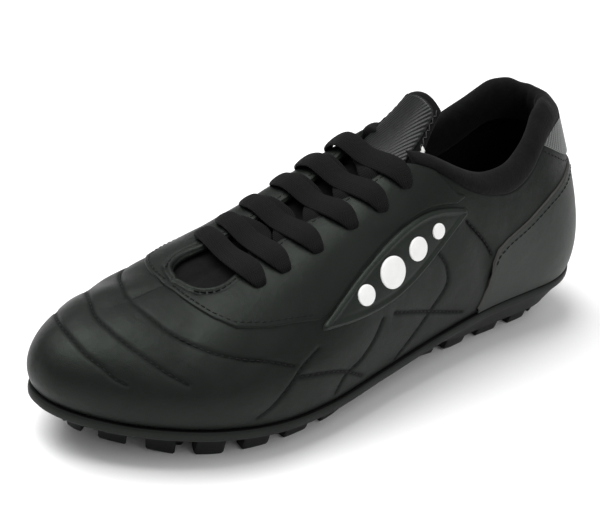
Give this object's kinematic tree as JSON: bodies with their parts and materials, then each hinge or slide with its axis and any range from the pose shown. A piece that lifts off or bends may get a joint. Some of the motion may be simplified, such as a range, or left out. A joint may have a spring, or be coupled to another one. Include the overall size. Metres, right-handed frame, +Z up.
{
  "type": "turf shoe",
  "caption": "Black low-cut turf shoe with a laced synthetic upper, padded collar, plain side plates with white discs and a short-lugged rubber sole.",
  "frame": {"origin": "middle of the footprint's box, on the floor under the lugs", "axes": "+X towards the toe, +Y towards the wearer's left (outer side), +Z up"},
  "size_m": [0.29, 0.1008, 0.1205],
  "materials": {
    "synthetic_leather": "satin, fine grain",
    "overlay_leather": "satin, smooth",
    "heel_weave": "coarse woven twill under a clear film",
    "lining": "knitted textile over foam",
    "rubber": "matte moulded",
    "lace": "flat woven",
    "label_film": "brushed film",
    "white_transfer": "flat white"
  },
  "bodies": {
    "root": {"outsole": "rubber", "insole": "lining", "upper": "synthetic_leather", "collar": "lining", "tongue": "lining", "tongue_label": "label_film", "eyestay": "overlay_leather", "heel_counter": "overlay_leather", "heel_tab": "heel_weave", "lace": "lace", "badge_outer": "overlay_leather", "badge_inner": "overlay_leather", "emblem_outer_1": "white_transfer", "emblem_outer_2": "white_transfer", "emblem_outer_3": "white_transfer", "emblem_outer_4": "white_transfer", "emblem_inner_1": "white_transfer", "emblem_inner_2": "white_transfer", "emblem_inner_3": "white_transfer", "emblem_inner_4": "white_transfer"}
  },
  "joints": []
}
